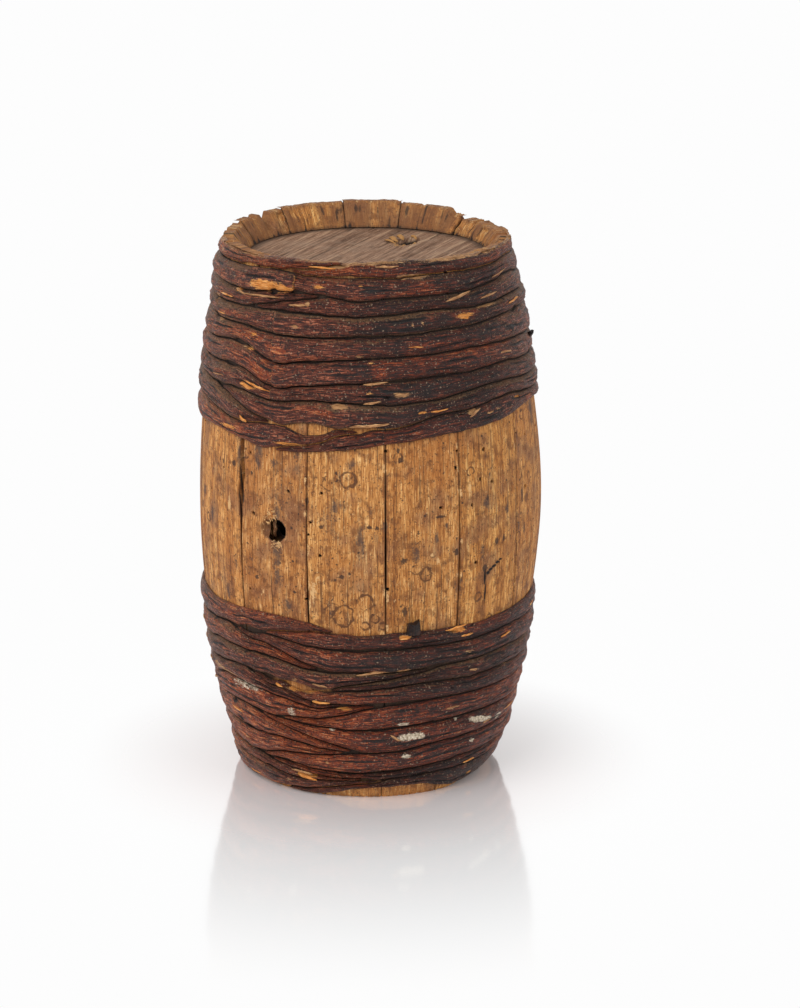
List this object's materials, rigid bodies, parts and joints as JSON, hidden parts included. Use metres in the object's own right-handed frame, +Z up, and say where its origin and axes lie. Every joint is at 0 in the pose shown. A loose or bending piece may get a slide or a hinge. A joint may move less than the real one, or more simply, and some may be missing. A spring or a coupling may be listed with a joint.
{
  "type": "small wooden keg",
  "caption": "Small bulging wooden keg with staves, recessed heads, split withy hoops at both ends and an open bung hole.",
  "frame": {"origin": "centre of the foot, on the plane that the stave ends stand on", "axes": "+Z up along the keg's axis, -Y out of the bung hole, +X to the right of the bung hole"},
  "size_m": [0.1489, 0.1481, 0.24],
  "materials": {
    "stave_wood": "bare weathered, satin",
    "head_wood": "bare weathered, dull grey-brown",
    "withy": "bark left on, dull dark red-brown"
  },
  "bodies": {
    "root": {"stave_bung": "stave_wood", "stave_02": "stave_wood", "stave_03": "stave_wood", "stave_04": "stave_wood", "stave_05": "stave_wood", "stave_06": "stave_wood", "stave_07": "stave_wood", "stave_08": "stave_wood", "stave_09": "stave_wood", "stave_10": "stave_wood", "stave_11": "stave_wood", "stave_12": "stave_wood", "stave_13": "stave_wood", "top_head_board_1": "head_wood", "top_head_board_2": "head_wood", "top_head_board_3": "head_wood", "foot_head_board_1": "head_wood", "foot_head_board_2": "head_wood", "foot_head_board_3": "head_wood", "upper_hoop_1": "withy", "upper_hoop_2": "withy", "upper_hoop_3": "withy", "upper_hoop_4": "withy", "upper_hoop_5": "withy", "upper_hoop_6": "withy", "upper_hoop_7": "withy", "upper_hoop_8": "withy", "upper_hoop_9": "withy", "lower_hoop_1": "withy", "lower_hoop_2": "withy", "lower_hoop_3": "withy", "lower_hoop_4": "withy", "lower_hoop_5": "withy", "lower_hoop_6": "withy", "lower_hoop_7": "withy", "lower_hoop_8": "withy", "lower_hoop_9": "withy"}
  },
  "joints": []
}
